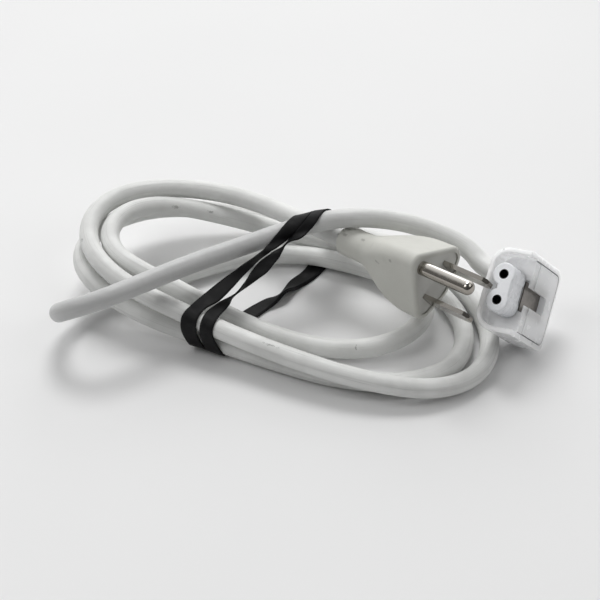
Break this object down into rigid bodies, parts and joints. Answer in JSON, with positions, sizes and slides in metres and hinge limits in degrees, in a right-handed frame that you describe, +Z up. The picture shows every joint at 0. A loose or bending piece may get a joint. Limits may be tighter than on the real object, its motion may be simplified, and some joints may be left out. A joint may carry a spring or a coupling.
{
  "type": "coiled power extension cable",
  "caption": "White mains extension cable in a loose coil, with a flared three-pin plug, a square slide-on appliance connector and a black rubber band round the turns.",
  "frame": {"origin": "on the floor under the middle of the coil's box", "axes": "+Z up from the floor the coil lies on, +X along the coil's long way towards the connector, +Y away from the viewer"},
  "size_m": [0.1692, 0.0996, 0.0395],
  "materials": {
    "cable_sheath": "soft satin PVC sheath, light grey-white",
    "plug_moulding": "matt PVC moulding, warm white",
    "pin_carrier": "matt plastic, warm white",
    "plated_metal": "bright nickel plate",
    "connector_moulding": "glossy white plastic",
    "socket_moulding": "semi-gloss white plastic",
    "contact_metal": "dull plated spring metal",
    "boot_moulding": "soft satin PVC, light grey-white",
    "band_rubber": "matt black rubber"
  },
  "bodies": {
    "root": {"cable": "cable_sheath", "plug_body": "plug_moulding", "plug_face_insert": "pin_carrier", "line_blade": "plated_metal", "neutral_blade": "plated_metal", "ground_pin": "plated_metal", "connector_shell": "connector_moulding", "connector_socket": "socket_moulding", "line_contact": "contact_metal", "neutral_contact": "contact_metal", "earth_clip": "contact_metal", "connector_boot": "boot_moulding", "rubber_band": "band_rubber"}
  },
  "joints": []
}
